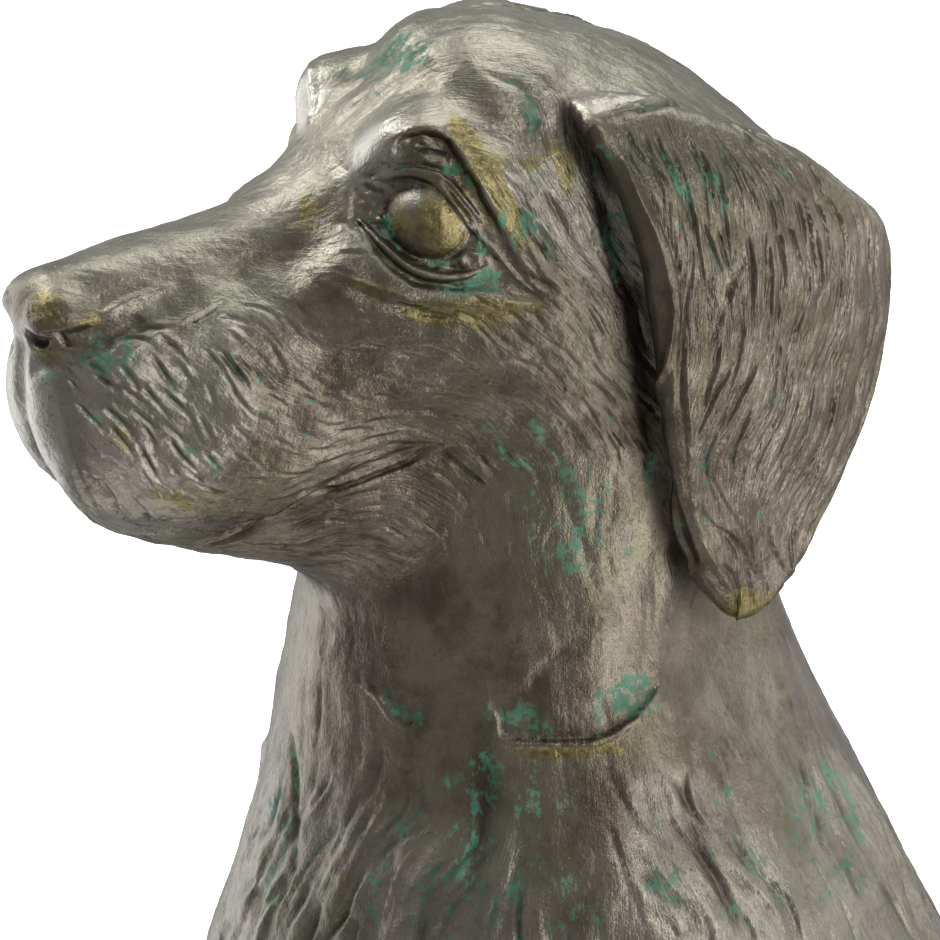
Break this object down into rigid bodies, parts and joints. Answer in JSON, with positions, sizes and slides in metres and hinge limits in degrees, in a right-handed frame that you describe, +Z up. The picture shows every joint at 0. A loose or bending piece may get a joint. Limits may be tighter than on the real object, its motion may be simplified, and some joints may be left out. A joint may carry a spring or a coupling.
{
  "type": "dog garden ornament",
  "caption": "Bust of a drop-eared retriever looking to its right, cast in one piece with an aged bronze finish and cut flat below to stand.",
  "frame": {"origin": "middle of the flat underside", "axes": "+Z up, the chest faces -Y, the dog's left side is +X; the head is turned 47 degrees to the dog's right, towards -X and -Y"},
  "size_m": [0.2206, 0.1904, 0.2565],
  "materials": {
    "aged_bronze": "satin dark brown bronze effect, greyer and smoother on top, olive gold rubbed on raised edges, green verdigris in the hollows and in flecks"
  },
  "bodies": {
    "root": {"dog_bust": "aged_bronze"}
  },
  "joints": []
}
